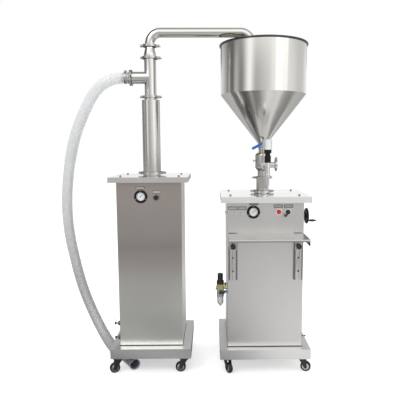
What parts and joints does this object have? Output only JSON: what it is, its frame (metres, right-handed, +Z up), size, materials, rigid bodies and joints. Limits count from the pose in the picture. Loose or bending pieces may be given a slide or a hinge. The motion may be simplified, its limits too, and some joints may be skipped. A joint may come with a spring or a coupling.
{
  "type": "filling machine",
  "caption": "Hopper piston filler on a castor cabinet, fed over its rim by a bent pipe from a pneumatic transfer pump with a clear suction hose.",
  "frame": {"origin": "on the floor, midway between the upright axes of the pump and the filler", "axes": "+X from the pump to the filler, +Y to the back of both cabinets, +Z up"},
  "size_m": [1.3095, 0.5299, 1.6684],
  "materials": {
    "cabinet_steel": "fine brushed stainless sheet",
    "lid_steel": "bright brushed stainless sheet",
    "polished_steel": "polished stainless steel",
    "plain_steel": "machined stainless steel",
    "cylinder_aluminium": "anodised aluminium",
    "black_plastic": "moulded black plastic",
    "black_iron": "black enamelled wheel",
    "knob_steel": "bright plated small parts",
    "red_plastic": "glossy red plastic",
    "clear_plastic": "clear flexible plastic",
    "castor_steel": "dark plated pressed steel",
    "castor_wheel": "black rubber tyre on a grey hub"
  },
  "bodies": {
    "pump_unit": {"pump_base_tray": "cabinet_steel", "pump_cabinet": "cabinet_steel", "pump_rear_cover": "cabinet_steel", "pump_top_plate": "lid_steel", "pump_air_cylinder": "cylinder_aluminium", "pump_column": "polished_steel", "pump_clamps": "polished_steel", "pump_tee": "polished_steel", "pump_reducer": "polished_steel", "hose_barb": "polished_steel", "pump_gauge": "black_plastic", "pump_hardware": "knob_steel", "pump_castor_frames": "castor_steel", "suction_hose": "clear_plastic"},
    "pump_piston": {"pump_piston": "plain_steel"},
    "pump_inlet_poppet": {"pump_inlet_poppet": "plain_steel"},
    "pump_outlet_poppet": {"pump_outlet_poppet": "plain_steel"},
    "pump_selector_knob": {"pump_selector_knob": "black_plastic"},
    "discharge_pipe": {"discharge_pipe": "polished_steel"},
    "filler_unit": {"filler_base_tray": "cabinet_steel", "filler_cabinet": "cabinet_steel", "filler_rear_cover": "cabinet_steel", "filler_top_plate": "lid_steel", "hopper": "polished_steel", "hopper_valve_body": "polished_steel", "product_valve_body": "polished_steel", "product_cylinder": "polished_steel", "filler_clamps": "polished_steel", "filler_air_cylinder": "cylinder_aluminium", "nozzle_body": "polished_steel", "nozzle_actuator": "cylinder_aluminium", "filler_gauge": "black_plastic", "regulator_body": "cylinder_aluminium", "regulator_bowl": "clear_plastic", "tray_rails": "plain_steel", "filler_hardware": "knob_steel", "filler_castor_frames": "castor_steel"},
    "hopper_valve_lever": {"hopper_valve_lever": "plain_steel"},
    "filler_piston": {"filler_piston": "plain_steel"},
    "suction_poppet": {"suction_poppet": "plain_steel"},
    "nozzle_plunger": {"nozzle_plunger": "plain_steel"},
    "red_button": {"red_button": "red_plastic"},
    "filler_selector_knob": {"filler_selector_knob": "black_plastic"},
    "flow_knob_left": {"flow_knob_left": "knob_steel"},
    "flow_knob_right": {"flow_knob_right": "knob_steel"},
    "handwheel": {"handwheel": "black_iron"},
    "handwheel_grip": {"handwheel_grip": "black_plastic"},
    "stroke_stop": {"stroke_stop": "plain_steel"},
    "regulator_knob": {"regulator_knob": "black_plastic"},
    "bottle_tray": {"bottle_tray": "plain_steel"},
    "pump_fork_left": {"pump_fork_left": "castor_steel"},
    "pump_wheel_left": {"pump_wheel_left": "castor_wheel"},
    "pump_fork_right": {"pump_fork_right": "castor_steel"},
    "pump_wheel_right": {"pump_wheel_right": "castor_wheel"},
    "pump_rear_wheels": {"pump_rear_wheels": "castor_wheel"},
    "filler_fork_left": {"filler_fork_left": "castor_steel"},
    "filler_wheel_left": {"filler_wheel_left": "castor_wheel"},
    "filler_fork_right": {"filler_fork_right": "castor_steel"},
    "filler_wheel_right": {"filler_wheel_right": "castor_wheel"},
    "filler_rear_wheels": {"filler_rear_wheels": "castor_wheel"}
  },
  "joints": [
    {"name": "filler_unit_roll", "type": "slide", "parent": "pump_unit", "child": "filler_unit", "axis": [0, 1, 0], "range_m": [-0.06, 0.06]},
    {"name": "pump_piston_stroke", "type": "slide", "parent": "pump_unit", "child": "pump_piston", "axis": [0, 0, 1], "range_m": [0, 0.24]},
    {"name": "pump_inlet_poppet_lift", "type": "slide", "parent": "pump_unit", "child": "pump_inlet_poppet", "axis": [1, 0, 0], "range_m": [0, 0.008], "stiffness_N_per_m": 100, "springref_m": -0.004},
    {"name": "pump_outlet_poppet_lift", "type": "slide", "parent": "pump_unit", "child": "pump_outlet_poppet", "axis": [0, 0, 1], "range_m": [0, 0.008]},
    {"name": "pump_selector_turn", "type": "hinge", "parent": "pump_unit", "child": "pump_selector_knob", "pos_m": [-0.242, -0.14, 0.858], "axis": [0, 1, 0], "range_deg": [0, 90]},
    {"name": "discharge_pipe_swing", "type": "hinge", "parent": "pump_unit", "child": "discharge_pipe", "pos_m": [-0.277, 0, 1.584], "axis": [0, 0, 1], "range_deg": [-10, 10]},
    {"name": "hopper_valve_turn", "type": "hinge", "parent": "filler_unit", "child": "hopper_valve_lever", "pos_m": [0.277, 0, 1.096], "axis": [0, -1, 0], "range_deg": [-27, 63]},
    {"name": "filler_piston_stroke", "type": "slide", "parent": "filler_unit", "child": "filler_piston", "axis": [0, 0, 1], "range_m": [0, 0.042]},
    {"name": "suction_poppet_lift", "type": "slide", "parent": "filler_unit", "child": "suction_poppet", "axis": [0, 0, -1], "range_m": [0, 0.008], "stiffness_N_per_m": 100, "springref_m": -0.008},
    {"name": "nozzle_plunger_lift", "type": "slide", "parent": "filler_unit", "child": "nozzle_plunger", "axis": [0, 0, 1], "range_m": [0, 0.015]},
    {"name": "red_button_press", "type": "slide", "parent": "filler_unit", "child": "red_button", "axis": [0, 1, 0], "range_m": [0, 0.004], "stiffness_N_per_m": 800, "springref_m": -0.001},
    {"name": "filler_selector_turn", "type": "hinge", "parent": "filler_unit", "child": "filler_selector_knob", "pos_m": [0.381, -0.1615, 0.789], "axis": [0, 1, 0], "range_deg": [-45, 45]},
    {"name": "flow_knob_left_turn", "type": "hinge", "parent": "filler_unit", "child": "flow_knob_left", "pos_m": [0.135, -0.1615, 0.784], "axis": [0, 1, 0], "range_deg": [0, 1080]},
    {"name": "flow_knob_right_turn", "type": "hinge", "parent": "filler_unit", "child": "flow_knob_right", "pos_m": [0.166, -0.1615, 0.784], "axis": [0, 1, 0], "range_deg": [0, 1080]},
    {"name": "handwheel_turn", "type": "hinge", "parent": "filler_unit", "child": "handwheel", "pos_m": [0.495, -0.04, 0.751], "axis": [1, 0, 0], "range_deg": [0, 3600]},
    {"name": "handwheel_grip_spin", "type": "hinge", "parent": "handwheel", "child": "handwheel_grip", "pos_m": [0.505, -0.06819, 0.73199], "axis": [1, 0, 0], "continuous": true},
    {"name": "stroke_stop_travel", "type": "slide", "parent": "filler_unit", "child": "stroke_stop", "axis": [-1, 0, 0], "range_m": [0, 0.0301]},
    {"name": "regulator_knob_turn", "type": "hinge", "parent": "filler_unit", "child": "regulator_knob", "pos_m": [0.063, -0.05, 0.44], "axis": [0, 0, 1], "range_deg": [-540, 540]},
    {"name": "bottle_tray_slide", "type": "slide", "parent": "filler_unit", "child": "bottle_tray", "axis": [0, 0, -1], "range_m": [0, 0.122]},
    {"name": "pump_fork_left_swivel", "type": "hinge", "parent": "pump_unit", "child": "pump_fork_left", "pos_m": [-0.438, -0.159, 0.073], "axis": [0, 0, 1], "continuous": true},
    {"name": "pump_wheel_left_spin", "type": "hinge", "parent": "pump_fork_left", "child": "pump_wheel_left", "pos_m": [-0.45491, -0.16516, 0.025], "axis": [0.342, -0.9397, 0], "continuous": true},
    {"name": "pump_fork_right_swivel", "type": "hinge", "parent": "pump_unit", "child": "pump_fork_right", "pos_m": [-0.116, -0.159, 0.073], "axis": [0, 0, 1], "continuous": true},
    {"name": "pump_wheel_right_spin", "type": "hinge", "parent": "pump_fork_right", "child": "pump_wheel_right", "pos_m": [-0.134, -0.159, 0.025], "axis": [0, -1, 0], "continuous": true},
    {"name": "pump_rear_wheels_spin", "type": "hinge", "parent": "pump_unit", "child": "pump_rear_wheels", "pos_m": [-0.277, 0.141, 0.025], "axis": [1, 0, 0], "continuous": true},
    {"name": "filler_fork_left_swivel", "type": "hinge", "parent": "filler_unit", "child": "filler_fork_left", "pos_m": [0.093, -0.16, 0.073], "axis": [0, 0, 1], "continuous": true},
    {"name": "filler_wheel_left_spin", "type": "hinge", "parent": "filler_fork_left", "child": "filler_wheel_left", "pos_m": [0.102, -0.17559, 0.025], "axis": [0.866, 0.5, 0], "continuous": true},
    {"name": "filler_fork_right_swivel", "type": "hinge", "parent": "filler_unit", "child": "filler_fork_right", "pos_m": [0.461, -0.16, 0.073], "axis": [0, 0, 1], "continuous": true},
    {"name": "filler_wheel_right_spin", "type": "hinge", "parent": "filler_fork_right", "child": "filler_wheel_right", "pos_m": [0.47839, -0.16466, 0.025], "axis": [0.2588, 0.9659, 0], "continuous": true},
    {"name": "filler_rear_wheels_spin", "type": "hinge", "parent": "filler_unit", "child": "filler_rear_wheels", "pos_m": [0.277, 0.142, 0.025], "axis": [1, 0, 0], "continuous": true}
  ],
  "couplings": [
    {"joint": "stroke_stop_travel", "follows": "handwheel_turn", "m_per_rad": 0.00047746}
  ]
}
